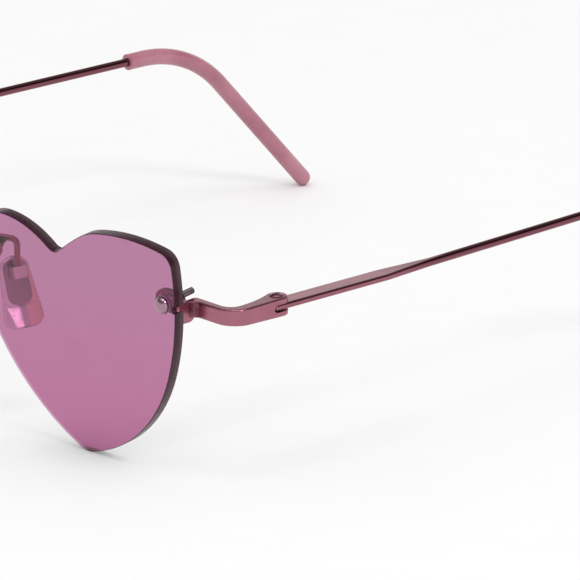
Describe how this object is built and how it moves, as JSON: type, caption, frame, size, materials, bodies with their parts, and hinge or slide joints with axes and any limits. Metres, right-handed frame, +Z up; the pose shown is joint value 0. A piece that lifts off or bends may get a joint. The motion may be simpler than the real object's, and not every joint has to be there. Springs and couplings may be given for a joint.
{
  "type": "sunglasses",
  "caption": "Rimless sunglasses with heart shaped tinted lenses, screwed on endpieces, thin wire temples that fold and soft nose pads that rock.",
  "frame": {"origin": "middle of the width and of the depth, on the surface that the lens tips and temple tips stand on", "axes": "+X to the wearer's left, +Y from the lenses back to the ears, +Z up"},
  "size_m": [0.1508, 0.1622, 0.0501],
  "materials": {
    "tinted_lens": "polished, see-through mauve pink tint",
    "pink_plated_metal": "glossy pink plating",
    "polished_steel": "polished",
    "plain_steel": "satin",
    "clear_nylon": "clear, slightly milky",
    "clear_silicone": "clear soft silicone",
    "rose_plastic": "glossy, faintly see-through rose"
  },
  "bodies": {
    "front": {"bridge": "pink_plated_metal", "lens_left": "tinted_lens", "lens_right": "tinted_lens", "endpiece_left": "pink_plated_metal", "endpiece_right": "pink_plated_metal", "pad_arm_left": "pink_plated_metal", "pad_arm_right": "pink_plated_metal", "pad_box_left": "pink_plated_metal", "pad_box_right": "pink_plated_metal", "temporal_screw_left": "polished_steel", "temporal_screw_right": "polished_steel", "bridge_screw_left": "polished_steel", "bridge_screw_right": "polished_steel", "hinge_screw_left": "polished_steel", "hinge_screw_right": "polished_steel", "pad_screw_left": "polished_steel", "pad_screw_right": "polished_steel", "temporal_nut_left": "polished_steel", "temporal_nut_right": "polished_steel", "bridge_nut_left": "polished_steel", "bridge_nut_right": "polished_steel", "temporal_washer_left": "clear_nylon", "temporal_washer_right": "clear_nylon", "bridge_washer_left": "clear_nylon", "bridge_washer_right": "clear_nylon", "temporal_bush_left": "clear_nylon", "temporal_bush_right": "clear_nylon", "bridge_bush_left": "clear_nylon", "bridge_bush_right": "clear_nylon"},
    "temple_left": {"temple_left": "pink_plated_metal", "temple_tip_left": "rose_plastic"},
    "nose_pad_left": {"nose_pad_left": "clear_silicone", "pad_core_left": "plain_steel"},
    "temple_right": {"temple_right": "pink_plated_metal", "temple_tip_right": "rose_plastic"},
    "nose_pad_right": {"nose_pad_right": "clear_silicone", "pad_core_right": "plain_steel"}
  },
  "joints": [
    {"name": "temple_fold_left", "type": "hinge", "parent": "front", "child": "temple_left", "pos_m": [0.07314, -0.05754, 0.03624], "axis": [0, 0, 1], "range_deg": [0, 90]},
    {"name": "temple_fold_right", "type": "hinge", "parent": "front", "child": "temple_right", "pos_m": [-0.07314, -0.05754, 0.03624], "axis": [0, 0, -1], "range_deg": [0, 85]},
    {"name": "nose_pad_rock_left", "type": "hinge", "parent": "front", "child": "nose_pad_left", "pos_m": [0.00941, -0.06982, 0.03083], "axis": [0.4068, 0.9059, 0.1177], "range_deg": [-8, 8]},
    {"name": "nose_pad_rock_right", "type": "hinge", "parent": "front", "child": "nose_pad_right", "pos_m": [-0.00941, -0.06982, 0.03083], "axis": [-0.4068, 0.9059, 0.1177], "range_deg": [-8, 8]}
  ]
}
